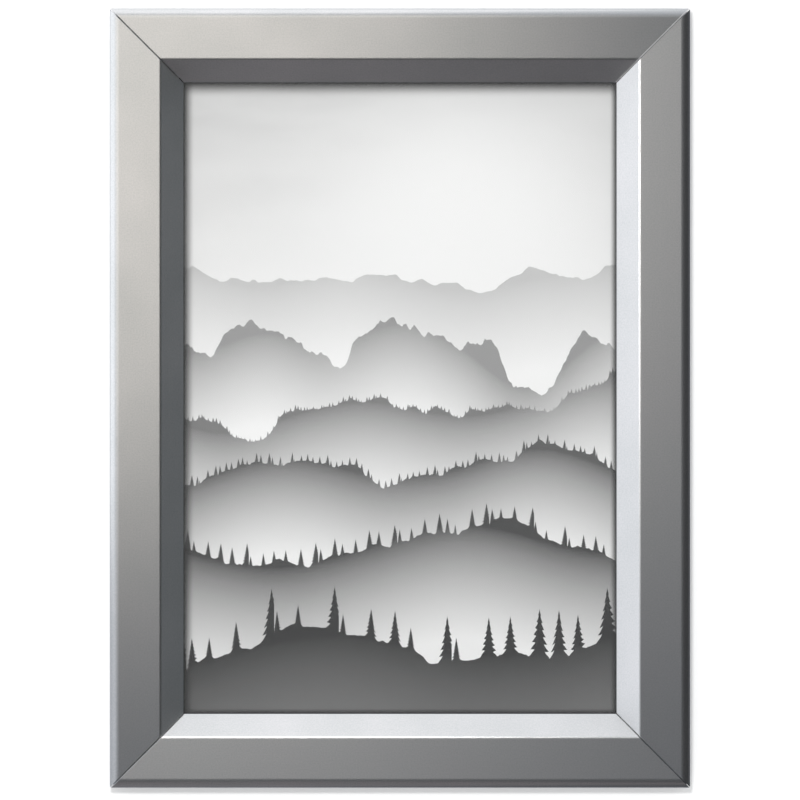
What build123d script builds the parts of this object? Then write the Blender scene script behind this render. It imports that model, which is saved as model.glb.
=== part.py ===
from build123d import *
import os
from math import atan2, cos, degrees, radians, sin, sqrt, tan

# A front-opening snap frame for one sheet of paper. Four base rails are joined at the corners and
# screwed to the wall. Four cover rails hinge along the outer edges of the base and hold the sheet.
# The frame stands upright: +Z is up, the front faces -Y, and the wall is the plane Y = 0.
# Every section is drawn in (u, v): u is the distance inward from the outer edge of the frame, and
# v is the height off the wall.

# Sheet format and the room it gets
sheet_width = 210.0
sheet_height = 297.0
sheet_overlap = 10.0        # edge of the sheet that the cover hides, on every side
sheet_thickness = 0.2
panel_thickness = 1.5
panel_oversize = 0.2        # the panel and the clear sheet are larger than the paper, on every side
window_thickness = 0.5
rebate_clearance = 0.3      # between the edge of the panel and the wall of its rebate

# Rails
rail_depth = 14.0           # from the wall to the flat face of the cover
mitre_gap = 0.15            # each cover stops this far from the mitre plane
overrun = 1.0               # by which a cut runs past what it cuts

# Cover rail
cover_wall = 1.3
outer_round = 4.2
bevel_width = 10.1          # from the flat face in to the lip, seen from the front
edge_round = 0.8            # rounding between the flat face and the bevel
inner_round = 0.4
lip_height = 0.9
lip_gap = 0.1               # between the lip and the clear sheet
face_clearance = 1.056      # between the inside of the flat face and the upstand of the base

# Hinge of the cover on the base
bead_radius = 1.4
hinge_clearance = 0.08
socket_wall = 1.1
wall_gap = 0.32             # keeps the turning socket off the wall
socket_start_angle = -10.0
socket_sweep_angle = 220.0
neck_angle = 35.0
neck_thickness = 1.0
opening_angle = 90.0
end_clearance = 0.3         # between a turning socket and the neighbouring rail

# Base rail
floor_thickness = 1.3
floor_setback = 1.0         # the floor ends this far outside the edge of the lip
upstand_wall = 1.2
upstand_setback = 1.92      # from the base pivot to the upstand
arm_thickness = 0.9
arm_rise = 0.5
rebate_wall = 1.2
channel_lip_width = 1.2
channel_lip_thickness = 1.1

# Over-centre leaf springs, with a rolled eye at each end that turns in a round seat
cover_pivot_radius = 3.8    # from the hinge to the seat on the cover
cover_pivot_angle = 15.0
eye_radius = 0.7
eye_bore_radius = 0.2
seat_clearance = 0.06
seat_wall = 0.6
seat_half_angle = 88.0
finger_thickness = 1.4
spring_thickness = 0.5
spring_width = 14.0
spring_bow = 0.5
spring_place_share = 0.28   # of the rail's length, from its middle to each spring

# Corner keys and their grub screws
key_width = 9.7
key_thickness = 2.0
key_play = 0.2              # round the key, and under it where the screws lift it off the floor
key_leg = 34.0
screw_radius = 1.9
screw_hole_clearance = 0.1
screw_length = 2.6
screw_place = 24.0          # from the key's outer corner to each screw
screw_drive = 1.15          # radius of the hexagon socket at its corners
screw_drive_depth = 1.4

# Wall screw holes
wall_hole_radius = 2.25
wall_hole_spacing = 200.0   # between the upper and the lower hole of each side rail

# Heights of the stack on the floor of the base
panel_top = floor_thickness + panel_thickness
sheet_top = panel_top + sheet_thickness
window_top = sheet_top + window_thickness
lip_bottom = window_top + lip_gap

# Places in the section
front = Vector(0, -1, 0)
half_turn = 180.0
socket_bore = bead_radius + hinge_clearance
socket_radius = socket_bore + socket_wall
hinge = Vector(socket_radius, socket_radius + wall_gap)
upstand_top = rail_depth - cover_wall - face_clearance
arm_end_height = upstand_top - arm_thickness / 2
base_pivot_height = arm_end_height - arm_rise
dead_centre_angle = cover_pivot_angle + opening_angle / 2
base_pivot_radius = (base_pivot_height - hinge.Y) / sin(radians(dead_centre_angle))


def polar(centre, reach, angle):
    """The point at this reach and angle in degrees from a centre."""
    return centre + Vector(reach * cos(radians(angle)), reach * sin(radians(angle)))


cover_pivot = polar(hinge, cover_pivot_radius, cover_pivot_angle)
base_pivot = polar(hinge, base_pivot_radius, dead_centre_angle)
channel_start = base_pivot.X + upstand_setback + upstand_wall
channel_end = channel_start + key_width + 2 * key_play
channel_middle = (channel_start + channel_end) / 2
channel_top = floor_thickness + key_play + key_thickness
rebate_edge = channel_end + rebate_wall
panel_edge = rebate_edge + rebate_clearance
sheet_edge = panel_edge + panel_oversize
rail_width = sheet_edge + sheet_overlap
face_width = rail_width - bevel_width
chord = cover_pivot - base_pivot
chord_angle = degrees(atan2(chord.Y, chord.X))
bow_radius = ((chord.length / 2)**2 + spring_bow**2) / (2 * spring_bow)
bow_half_angle = degrees(atan2(chord.length / 2, bow_radius - spring_bow))

# Sizes of the whole frame
frame_width = sheet_width + 2 * sheet_edge
frame_height = sheet_height + 2 * sheet_edge

RAILS = {
    "top": (Vector(0, 0, -1), frame_height, frame_width),
    "bottom": (Vector(0, 0, 1), frame_height, frame_width),
    "left": (Vector(1, 0, 0), frame_width, frame_height),
    "right": (Vector(-1, 0, 0), frame_width, frame_height),
}
CORNERS = {
    "top_left": (-1, 1),
    "top_right": (1, 1),
    "bottom_left": (-1, -1),
    "bottom_right": (1, -1),
}


def outline(corners):
    """A face through corners (u, v, radius); each corner that has a radius is rounded by a tangent arc."""
    edges = []
    ends = []
    for index, (u, v, radius) in enumerate(corners):
        point = Vector(u, v)
        next_index = (index + 1) % len(corners)
        before = (Vector(*corners[index - 1][:2]) - point).normalized()
        after = (Vector(*corners[next_index][:2]) - point).normalized()
        start, end = point, point
        if radius:
            half_angle = radians(before.get_angle(after)) / 2
            reach = radius / tan(half_angle)
            bisector = (before + after).normalized()
            start = point + before * reach
            end = point + after * reach
            middle = point + bisector * (radius / sin(half_angle) - radius)
            edges.append(ThreePointArc(start, middle, end))
        ends.append((start, end))
    for index, (start, _) in enumerate(ends):
        edges.append(Line(ends[index - 1][1], start))
    return make_face(edges)


def disc(centre, radius):
    """A full round in the section."""
    return Pos(centre.X, centre.Y) * Circle(radius)


def bar(start, end, thickness):
    """A straight web of even thickness between two points of the section."""
    along = (end - start).normalized()
    side = Vector(-along.Y, along.X) * (thickness / 2)
    points = [start + side, end + side, end - side, start - side]
    return outline([(point.X, point.Y, 0) for point in points])


def ring_sector(centre, inner, outer, start_angle, sweep):
    """Part of a ring, from a start angle over a sweep, both in degrees."""
    outside = CenterArc(centre, outer, start_angle, sweep)
    inside = CenterArc(centre, inner, start_angle, sweep)
    return make_face([outside, inside, Line(outside @ 0, inside @ 0), Line(outside @ 1, inside @ 1)])


def spring_seat(pivot, web_end, web_thickness, open_angle):
    """A round seat for a spring's eye on a web, open round the angle in which the leaf leaves it."""
    inner = eye_radius + seat_clearance
    start_angle = open_angle + half_turn - seat_half_angle
    cup = ring_sector(pivot, inner, inner + seat_wall, start_angle, 2 * seat_half_angle)
    return bar(pivot, web_end, web_thickness) + cup - disc(pivot, inner)


def cover_profile():
    """Skin with its round, flat face and bevel, the hinge socket, and the finger for the springs."""
    drop = rail_depth - lip_bottom - lip_height
    bevel_angle = atan2(drop, rail_width - face_width)
    inner_edge = face_width - cover_wall * tan(bevel_angle / 2)
    inner_depth = rail_depth - cover_wall
    lip_inside = inner_edge + (inner_depth - lip_bottom) / tan(bevel_angle)
    skin = outline([
        (0, hinge.Y, 0),
        (0, rail_depth, outer_round),
        (face_width, rail_depth, edge_round),
        (rail_width, lip_bottom + lip_height, 0),
        (rail_width, lip_bottom, 0),
        (lip_inside, lip_bottom, 0),
        (inner_edge, inner_depth, inner_round),
        (cover_wall, inner_depth, outer_round - cover_wall),
        (cover_wall, hinge.Y, 0),
    ])
    socket = ring_sector(hinge, socket_bore, socket_radius, socket_start_angle, socket_sweep_angle)
    finger = spring_seat(cover_pivot, hinge, finger_thickness, cover_pivot_angle + bow_half_angle)
    return skin + socket + finger - disc(hinge, socket_bore)


def base_profile():
    """Floor with the hinge bead, the upstand and pivot for the springs, and the channel and rebate."""
    neck_length = (hinge.Y - floor_thickness / 2) / sin(radians(neck_angle))
    neck_foot = polar(hinge, neck_length, -neck_angle)
    arm_end = Vector(channel_start - upstand_wall / 2, arm_end_height)
    wall_top = channel_top + channel_lip_thickness
    floor_start = neck_foot.X - neck_thickness / 2
    floor_end = rail_width - floor_setback
    floor = outline([
        (floor_start, 0, 0),
        (floor_end, 0, 0),
        (floor_end, floor_thickness, 0),
        (floor_start, floor_thickness, 0),
    ])
    knuckle = bar(hinge, neck_foot, neck_thickness) + disc(hinge, bead_radius)
    upstand = outline([
        (channel_start - upstand_wall, 0, 0),
        (channel_start, 0, 0),
        (channel_start, channel_top, 0),
        (channel_start + channel_lip_width, channel_top, 0),
        (channel_start + channel_lip_width, wall_top, 0),
        (channel_start, wall_top, 0),
        (channel_start, upstand_top, upstand_wall / 2),
        (channel_start - upstand_wall, upstand_top, 0),
    ])
    rebate = outline([
        (channel_end, 0, 0),
        (rebate_edge, 0, 0),
        (rebate_edge, wall_top, 0),
        (channel_end - channel_lip_width, wall_top, 0),
        (channel_end - channel_lip_width, channel_top, 0),
        (channel_end, channel_top, 0),
    ])
    arm = spring_seat(base_pivot, arm_end, arm_thickness, dead_centre_angle + half_turn - bow_half_angle)
    return floor + knuckle + upstand + rebate + arm


def spring_profile():
    """A slightly bowed leaf whose ends are rolled into eyes."""
    side_angle = chord_angle - half_turn / 2
    bow_centre = polar((base_pivot + cover_pivot) / 2, spring_bow - bow_radius, side_angle)
    half_leaf = spring_thickness / 2
    face = ring_sector(
        bow_centre, bow_radius - half_leaf, bow_radius + half_leaf, side_angle - bow_half_angle, 2 * bow_half_angle
    )
    for pivot in (base_pivot, cover_pivot):
        face = face + disc(pivot, eye_radius) - disc(pivot, eye_bore_radius)
    return face


def rail_plane(side):
    """Plane of a rail's section at the middle of its length: X runs inward and Y to the front."""
    inward, extent, _ = RAILS[side]
    return Plane(origin=inward * (-extent / 2), x_dir=inward, z_dir=inward.cross(front))


def mitred(profile, side, gap):
    """A section drawn out along one side of the frame and cut off at both ends on the mitre."""
    inward, extent, length = RAILS[side]
    half_end = length / 2 - gap * sqrt(2)
    rail = extrude(rail_plane(side) * profile, amount=length / 2 + overrun, both=True)
    wide = half_end + overrun
    narrow = half_end - rail_width - overrun
    plan = outline([
        (-overrun, -wide, 0),
        (rail_width + overrun, -narrow, 0),
        (rail_width + overrun, narrow, 0),
        (-overrun, wide, 0),
    ])
    plan_plane = Plane(origin=inward * (-extent / 2), x_dir=inward, z_dir=front)
    return rail & extrude(plan_plane * plan, amount=rail_depth + overrun, both=True)


def end_notch(side, end):
    """What is cut from one end of a cover's hinge side, so that it turns clear of its neighbours."""
    inward, extent, length = RAILS[side]
    reach = hinge.X + socket_radius + end_clearance
    slope_height = hinge.X + mitre_gap * sqrt(2)
    view = outline([
        (length / 2 - reach, -overrun, 0),
        (length / 2 + overrun, -overrun, 0),
        (length / 2 + overrun, hinge.Y + slope_height * (reach + overrun) / reach, 0),
        (length / 2 - reach, hinge.Y, 0),
    ])
    along = inward.cross(front) * end
    view_plane = Plane(origin=inward * (-extent / 2), x_dir=along, z_dir=along.cross(front))
    return extrude(view_plane * view, amount=reach + overrun, both=True)


def cover_rail(side):
    """Cover rail, with the lower edge of its hinge side cut back at both ends."""
    rail = mitred(cover_profile(), side, mitre_gap)
    for end in (-1, 1):
        rail -= end_notch(side, end)
    return rail


def base_rail(side):
    """Base rail; the two upright ones have the holes for the wall screws in the floor of the channel."""
    rail = mitred(base_profile(), side, 0)
    if side in ("left", "right"):
        for end in (-1, 1):
            hole = Pos(channel_middle, floor_thickness / 2, end * wall_hole_spacing / 2) * Rot(90, 0, 0)
            rail -= rail_plane(side) * (hole * Cylinder(wall_hole_radius, floor_thickness + overrun))
    return rail


def springs(side):
    """The two leaf springs of one side, each on its own."""
    length = RAILS[side][2]
    leaves = []
    for end in (-1, 1):
        leaf = extrude(spring_profile(), amount=spring_width / 2, both=True)
        leaves.append(rail_plane(side) * (Pos(0, 0, end * length * spring_place_share) * leaf))
    return leaves


def corner_plane(corner):
    """Plane on the floor of the channel at the key's outer corner: both axes run inward."""
    across, up = CORNERS[corner]
    inset = channel_start + key_play
    origin = Vector(across * (frame_width / 2 - inset), -floor_thickness, up * (frame_height / 2 - inset))
    x_dir = Vector(-across, 0, 0)
    return Plane(origin=origin, x_dir=x_dir, z_dir=x_dir.cross(Vector(0, 0, -up)))


def screw_places(corner):
    """Centres of the two grub screws of a corner, in the plane of its key, and the sign of its front."""
    facing = corner_plane(corner).z_dir.dot(front)
    return [(screw_place, key_width / 2), (key_width / 2, screw_place)], facing


def corner_key(corner):
    """Flat L of steel plate that joins two base rails, tapped for its grub screws."""
    places, facing = screw_places(corner)
    plate = outline([
        (0, 0, key_play),
        (key_leg, 0, 0),
        (key_leg, key_width, 0),
        (key_width, key_width, key_play),
        (key_width, key_leg, 0),
        (0, key_leg, 0),
    ])
    for x, y in places:
        plate -= Pos(x, y) * Circle(screw_radius + screw_hole_clearance)
    key = Pos(0, 0, facing * (key_play + key_thickness / 2)) * extrude(plate, amount=key_thickness / 2, both=True)
    return corner_plane(corner) * key


def grub_screws(corner):
    """The two socket grub screws of a corner, standing on the floor of the channel."""
    places, facing = screw_places(corner)
    screws = []
    for x, y in places:
        body = Cylinder(screw_radius, screw_length)
        drive = extrude(RegularPolygon(screw_drive, 6), amount=screw_drive_depth / 2, both=True)
        drive = Pos(0, 0, facing * (screw_length - screw_drive_depth) / 2) * drive
        screw = Pos(x, y, facing * screw_length / 2) * (body - drive)
        screws.append(corner_plane(corner) * screw)
    return Compound(children=screws)


def flat_sheet(inset, bottom, thickness):
    """A flat sheet whose edges lie at this inset from the outer edge of the frame."""
    sheet = Box(frame_width - 2 * inset, thickness, frame_height - 2 * inset)
    return Pos(0, -bottom - thickness / 2, 0) * sheet


def build_parts():
    """Every piece of the frame under its own name."""
    parts = {}
    for side in RAILS:
        parts[f"base_rail_{side}"] = base_rail(side)
        parts[f"cover_rail_{side}"] = cover_rail(side)
        for number, leaf in enumerate(springs(side), start=1):
            parts[f"snap_spring_{side}_{number}"] = leaf
    for corner in CORNERS:
        parts[f"corner_key_{corner}"] = corner_key(corner)
        parts[f"grub_screws_{corner}"] = grub_screws(corner)
    parts["back_panel"] = flat_sheet(panel_edge, floor_thickness, panel_thickness)
    parts["print_sheet"] = flat_sheet(sheet_edge, panel_top, sheet_thickness)
    parts["clear_sheet"] = flat_sheet(panel_edge, sheet_top, window_thickness)
    return parts


os.makedirs("parts", exist_ok=True)
for name, shape in build_parts().items():
    export_step(shape, f"parts/{name}.step")

spring_turn = 2 * (chord_angle + half_turn - dead_centre_angle)
print("frame", frame_width, frame_height, "rail", rail_width, "hinge", hinge.X, hinge.Y)
print("base pivot", base_pivot.X, base_pivot.Y, "cover pivot", cover_pivot.X, cover_pivot.Y)
print("spring turns", spring_turn, "hole inset", channel_middle)
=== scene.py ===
from math import acos, asin, atan2, cos, degrees, pi, radians, sin, sqrt, tan

import bmesh
import bpy
from mathutils import Matrix, Vector
from mathutils.geometry import tessellate_polygon


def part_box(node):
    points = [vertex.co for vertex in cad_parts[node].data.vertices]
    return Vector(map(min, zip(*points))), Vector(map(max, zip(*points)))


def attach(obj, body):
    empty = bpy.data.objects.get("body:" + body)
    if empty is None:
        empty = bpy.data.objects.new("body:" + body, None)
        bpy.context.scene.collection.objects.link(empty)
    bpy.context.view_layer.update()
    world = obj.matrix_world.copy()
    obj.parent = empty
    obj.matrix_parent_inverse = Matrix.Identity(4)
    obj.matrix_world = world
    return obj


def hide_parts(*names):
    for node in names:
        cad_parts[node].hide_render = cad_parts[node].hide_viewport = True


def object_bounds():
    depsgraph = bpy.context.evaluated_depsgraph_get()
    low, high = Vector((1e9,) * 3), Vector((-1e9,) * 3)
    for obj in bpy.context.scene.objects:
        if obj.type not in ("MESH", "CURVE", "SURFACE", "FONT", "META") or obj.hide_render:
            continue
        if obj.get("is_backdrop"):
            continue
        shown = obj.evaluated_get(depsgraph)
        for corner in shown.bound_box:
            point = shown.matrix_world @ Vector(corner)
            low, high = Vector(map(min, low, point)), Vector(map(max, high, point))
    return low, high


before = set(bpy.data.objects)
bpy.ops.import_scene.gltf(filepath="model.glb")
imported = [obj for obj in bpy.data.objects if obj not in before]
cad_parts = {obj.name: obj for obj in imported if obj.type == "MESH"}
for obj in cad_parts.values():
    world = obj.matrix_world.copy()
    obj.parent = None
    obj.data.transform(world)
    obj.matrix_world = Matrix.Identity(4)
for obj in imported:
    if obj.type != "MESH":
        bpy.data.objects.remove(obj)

cad_low, cad_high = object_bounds()

# Base rails
# Four lengths of one aluminium extrusion, mitred and screwed to the wall: a floor, the bead of the
# hinge, an upstand for the springs, the channel of the corner keys and the rebate of the sheets.
# They keep the mill finish: grey, with the die's lines running along the rail.
mm = 0.001
sides = ("top", "bottom", "left", "right")
lying_sides = ("top", "bottom")
cloud_count = 28.0          # slow clouds of tone in a metre of metal
cloud_share = 0.3
grain_contrast = (0.3, 0.7)
across_grain = 0.25         # of a turn, from the grain to the way in which it spreads the gloss
mill_colour = (0.70, 0.70, 0.71)
mill_colour_worn = (0.58, 0.585, 0.60)
mill_lines = (0.18 * mm, 40 * mm)
mill_speckles = 1800
mill_relief = 0.01 * mm


def new_material(name):
    """A material with a Principled shader, its node tree and that shader's node."""
    material = bpy.data.materials.new(name)
    material.use_nodes = True
    tree = material.node_tree
    return material, tree, tree.nodes["Principled BSDF"]


def add_node(tree, kind, **settings):
    """A node of this kind; settings whose names start with in_ fill its inputs, by number or by name."""
    node = tree.nodes.new(kind)
    for key, value in settings.items():
        if key.startswith("in_"):
            socket = key[3:]
            node.inputs[int(socket) if socket.isdigit() else socket.replace("_", " ")].default_value = value
        else:
            setattr(node, key, value)
    return node


def along_rail(tree, side, across_size, along_size):
    """Object coordinates scaled so that a pattern's grain runs along a rail of this side."""
    lying = side in lying_sides
    fine, coarse = 1 / across_size, 1 / along_size
    scale = (coarse, fine, fine) if lying else (fine, fine, coarse)
    coordinates = add_node(tree, "ShaderNodeTexCoord")
    mapping = add_node(tree, "ShaderNodeMapping", in_Scale=scale)
    tree.links.new(coordinates.outputs["Object"], mapping.inputs["Vector"])
    return mapping.outputs["Vector"]


def make_grain_group():
    """Grain of worked metal: lines along the rail, fine speckle, and slow clouds of tone."""
    group = bpy.data.node_groups.new("metal grain", "ShaderNodeTree")
    faces = group.interface
    faces.new_socket("Lines Vector", in_out="INPUT", socket_type="NodeSocketVector")
    faces.new_socket("Speckle Scale", in_out="INPUT", socket_type="NodeSocketFloat")
    faces.new_socket("Lines Weight", in_out="INPUT", socket_type="NodeSocketFloat")
    faces.new_socket("Tone", in_out="OUTPUT", socket_type="NodeSocketFloat")
    faces.new_socket("Height", in_out="OUTPUT", socket_type="NodeSocketFloat")
    entry = add_node(group, "NodeGroupInput")
    leave = add_node(group, "NodeGroupOutput")
    lines = add_node(group, "ShaderNodeTexNoise", in_Scale=1.0, in_Detail=3.0, in_Roughness=0.6)
    group.links.new(entry.outputs["Lines Vector"], lines.inputs["Vector"])
    coordinates = add_node(group, "ShaderNodeTexCoord")
    speckle = add_node(group, "ShaderNodeTexNoise", in_Detail=2.0, in_Roughness=0.55)
    group.links.new(coordinates.outputs["Object"], speckle.inputs["Vector"])
    group.links.new(entry.outputs["Speckle Scale"], speckle.inputs["Scale"])
    clouds = add_node(group, "ShaderNodeTexNoise", in_Scale=cloud_count, in_Detail=2.0)
    group.links.new(coordinates.outputs["Object"], clouds.inputs["Vector"])
    mix = add_node(group, "ShaderNodeMix", data_type="FLOAT")
    group.links.new(entry.outputs["Lines Weight"], mix.inputs["Factor"])
    group.links.new(speckle.outputs["Fac"], mix.inputs["A"])
    group.links.new(lines.outputs["Fac"], mix.inputs["B"])
    tone = add_node(group, "ShaderNodeMix", data_type="FLOAT", in_Factor=cloud_share)
    group.links.new(mix.outputs["Result"], tone.inputs["A"])
    group.links.new(clouds.outputs["Fac"], tone.inputs["B"])
    group.links.new(tone.outputs["Result"], leave.inputs["Tone"])
    group.links.new(mix.outputs["Result"], leave.inputs["Height"])
    return group


metal_grain = make_grain_group()


def grained_metal(name, side, colours, lines, speckles, lines_weight, roughness, spread, relief, anisotropy):
    """A metal whose colour, roughness and surface follow a grain: lines along the rails of a side, whose
    width and length are given, and speckles, given by how many there are in a metre."""
    material, tree, shader = new_material(name)
    grain = add_node(tree, "ShaderNodeGroup", node_tree=metal_grain)
    grain.inputs["Speckle Scale"].default_value = speckles
    grain.inputs["Lines Weight"].default_value = lines_weight
    tree.links.new(along_rail(tree, side, *lines), grain.inputs["Lines Vector"])
    contrast = add_node(tree, "ShaderNodeMapRange", in_1=grain_contrast[0], in_2=grain_contrast[1])
    tree.links.new(grain.outputs["Tone"], contrast.inputs["Value"])
    colour = add_node(tree, "ShaderNodeMix", data_type="RGBA")
    colour.inputs["A"].default_value = (*colours[1], 1)
    colour.inputs["B"].default_value = (*colours[0], 1)
    tree.links.new(contrast.outputs["Result"], colour.inputs["Factor"])
    tree.links.new(colour.outputs["Result"], shader.inputs["Base Color"])
    rough = add_node(tree, "ShaderNodeMapRange", in_3=roughness + spread, in_4=roughness - spread)
    tree.links.new(contrast.outputs["Result"], rough.inputs["Value"])
    tree.links.new(rough.outputs["Result"], shader.inputs["Roughness"])
    dents = add_node(tree, "ShaderNodeBump", in_Strength=1.0, in_Distance=relief)
    tree.links.new(grain.outputs["Height"], dents.inputs["Height"])
    tree.links.new(dents.outputs["Normal"], shader.inputs["Normal"])
    shader.inputs["Metallic"].default_value = 1.0
    shader.inputs["Anisotropic"].default_value = anisotropy
    if anisotropy:
        shader.inputs["Anisotropic Rotation"].default_value = across_grain
        direction = (1, 0, 0) if side in lying_sides else (0, 0, 1)
        tangent = add_node(tree, "ShaderNodeCombineXYZ", in_X=direction[0], in_Z=direction[2])
        tree.links.new(tangent.outputs["Vector"], shader.inputs["Tangent"])
    return material


def finish_node(node, material):
    """Gives a piece of the frame its material."""
    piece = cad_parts[node]
    piece.data.materials.clear()
    piece.data.materials.append(material)


for side in sides:
    mill = grained_metal(
        f"mill aluminium {side}", side, (mill_colour, mill_colour_worn), mill_lines, mill_speckles,
        lines_weight=0.8, roughness=0.36, spread=0.06, relief=mill_relief, anisotropy=0.5,
    )
    finish_node(f"base_rail_{side}", mill)

# Corner keys
# Flat L pieces punched from steel plate and zinc plated, one in the channel of each corner.
corners = {"top_left": (-1, 1), "top_right": (1, 1), "bottom_left": (-1, -1), "bottom_right": (1, -1)}
zinc_colour = (0.66, 0.67, 0.66)
zinc_colour_cloudy = (0.50, 0.52, 0.53)
zinc_grain = (1.5 * mm, 1.5 * mm)
zinc_speckles = 900
zinc_relief = 0.006 * mm
zinc = grained_metal(
    "zinc plate", "left", (zinc_colour, zinc_colour_cloudy), zinc_grain, zinc_speckles,
    lines_weight=0.5, roughness=0.34, spread=0.08, relief=zinc_relief, anisotropy=0,
)
for corner in corners:
    finish_node(f"corner_key_{corner}", zinc)

# Grub screws
# Black socket screws, two in each key. They stand on the floor of the channel and lift the key
# against the channel's lips, which locks the corner.
screw_radius = 1.9 * mm
thread_pitch = 0.7 * mm
thread_depth = 0.24 * mm
drive_radius = 1.15 * mm
drive_depth = 1.4 * mm
drive_sides = 6
core_sides = 32
thread_sides = 4
thread_share = 0.96         # radius of the thread's ridge, of the thread's depth
turn_steps = 24             # points in a turn of the thread
screw_seed = 5
oxide_colour = (0.10, 0.10, 0.11)
oxide_colour_worn = (0.24, 0.24, 0.25)
oxide_grain = (0.4 * mm, 0.4 * mm)
oxide_speckles = 2500
oxide_relief = 0.004 * mm
black_oxide = grained_metal(
    "black oxide", "left", (oxide_colour, oxide_colour_worn), oxide_grain, oxide_speckles,
    lines_weight=0.5, roughness=0.4, spread=0.08, relief=oxide_relief, anisotropy=0,
)


def fill(tree, node, *values):
    """Fills a node's inputs in order, with values or with outputs of other nodes, and gives its output."""
    for socket, value in zip(node.inputs, values):
        if isinstance(value, bpy.types.NodeSocket):
            tree.links.new(value, socket)
        elif value is not None:
            socket.default_value = value
    return node.outputs[0]


def calculator(tree):
    """A function that puts one sum into the tree and gives its result."""
    def calculate(operation, *values, clamp=False):
        return fill(tree, add_node(tree, "ShaderNodeMath", operation=operation, use_clamp=clamp), *values)
    return calculate


def shape_tree(name, inputs):
    """A Geometry Nodes tree with named inputs, and its sockets: what goes in and what comes out."""
    tree = bpy.data.node_groups.new(name, "GeometryNodeTree")
    tree.interface.new_socket("Geometry", in_out="INPUT", socket_type="NodeSocketGeometry")
    for label, kind in inputs:
        tree.interface.new_socket(label, in_out="INPUT", socket_type=f"NodeSocket{kind}")
    tree.interface.new_socket("Geometry", in_out="OUTPUT", socket_type="NodeSocketGeometry")
    return tree, add_node(tree, "NodeGroupInput").outputs, add_node(tree, "NodeGroupOutput").inputs


def baked_piece(name, start, tree, values):
    """An object with the plain mesh that the tree makes from a starting mesh."""
    piece = bpy.data.objects.new(name, start)
    bpy.context.scene.collection.objects.link(piece)
    shape = piece.modifiers.new("shape", "NODES")
    shape.node_group = tree
    for item in tree.interface.items_tree:
        if item.in_out == "INPUT" and item.name in values:
            shape[item.identifier] = values[item.name]
    evaluated = piece.evaluated_get(bpy.context.evaluated_depsgraph_get())
    mesh = bpy.data.meshes.new_from_object(evaluated)
    piece.modifiers.remove(shape)
    piece.data = mesh
    return piece


def make_screw_tree():
    """A socket grub screw with its thread, set on each point of the starting mesh and turned at random."""
    tree, entry, leave = shape_tree("grub screws", (
        ("Radius", "Float"), ("Length", "Float"), ("Pitch", "Float"), ("Thread Depth", "Float"),
        ("Drive Radius", "Float"), ("Drive Depth", "Float"), ("Seed", "Int"), ("Material", "Material"),
    ))
    calculate = calculator(tree)
    core_radius = calculate("SUBTRACT", entry["Radius"], entry["Thread Depth"])
    core = fill(tree, add_node(tree, "GeometryNodeMeshCylinder", in_Vertices=core_sides))
    tree.links.new(core_radius, core.node.inputs["Radius"])
    tree.links.new(entry["Length"], core.node.inputs["Depth"])
    drive = fill(tree, add_node(tree, "GeometryNodeMeshCylinder", in_Vertices=drive_sides))
    tree.links.new(entry["Drive Radius"], drive.node.inputs["Radius"])
    tree.links.new(calculate("MULTIPLY", entry["Drive Depth"], 2.0), drive.node.inputs["Depth"])
    half_length = calculate("DIVIDE", entry["Length"], 2.0)
    top = add_node(tree, "ShaderNodeCombineXYZ")
    tree.links.new(half_length, top.inputs["Z"])
    raised = fill(tree, add_node(tree, "GeometryNodeTransform"), drive)
    tree.links.new(top.outputs[0], raised.node.inputs["Translation"])
    socketed = add_node(tree, "GeometryNodeMeshBoolean", operation="DIFFERENCE")
    tree.links.new(core, socketed.inputs["Mesh 1"])
    tree.links.new(raised, socketed.inputs["Mesh 2"])
    rise = calculate("SUBTRACT", entry["Length"], entry["Pitch"])
    spiral = add_node(tree, "GeometryNodeCurveSpiral", in_Resolution=turn_steps)
    tree.links.new(calculate("DIVIDE", rise, entry["Pitch"]), spiral.inputs["Rotations"])
    tree.links.new(core_radius, spiral.inputs["Start Radius"])
    tree.links.new(core_radius, spiral.inputs["End Radius"])
    tree.links.new(rise, spiral.inputs["Height"])
    ridge = fill(tree, add_node(tree, "GeometryNodeCurvePrimitiveCircle", in_Resolution=thread_sides))
    tree.links.new(calculate("MULTIPLY", entry["Thread Depth"], thread_share), ridge.node.inputs["Radius"])
    thread = add_node(tree, "GeometryNodeCurveToMesh", in_Fill_Caps=True)
    tree.links.new(spiral.outputs[0], thread.inputs["Curve"])
    tree.links.new(ridge, thread.inputs["Profile Curve"])
    bottom = add_node(tree, "ShaderNodeCombineXYZ")
    tree.links.new(calculate("DIVIDE", rise, -2.0), bottom.inputs["Z"])
    seated = fill(tree, add_node(tree, "GeometryNodeTransform"), thread.outputs[0])
    tree.links.new(bottom.outputs[0], seated.node.inputs["Translation"])
    screw = add_node(tree, "GeometryNodeJoinGeometry")
    tree.links.new(socketed.outputs["Mesh"], screw.inputs[0])
    tree.links.new(seated, screw.inputs[0])
    turn = add_node(tree, "FunctionNodeRandomValue", data_type="FLOAT")
    tree.links.new(entry["Seed"], turn.inputs["Seed"])
    angles = add_node(tree, "ShaderNodeCombineXYZ", in_X=pi / 2)
    tree.links.new(turn.outputs[1], angles.inputs["Y"])
    placed = fill(tree, add_node(tree, "GeometryNodeInstanceOnPoints"), entry["Geometry"])
    tree.links.new(screw.outputs[0], placed.node.inputs["Instance"])
    tree.links.new(angles.outputs[0], placed.node.inputs["Rotation"])
    solid = fill(tree, add_node(tree, "GeometryNodeRealizeInstances"), placed)
    finished = fill(tree, add_node(tree, "GeometryNodeSetMaterial"), solid, None, entry["Material"])
    tree.links.new(finished, leave[0])
    return tree


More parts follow.
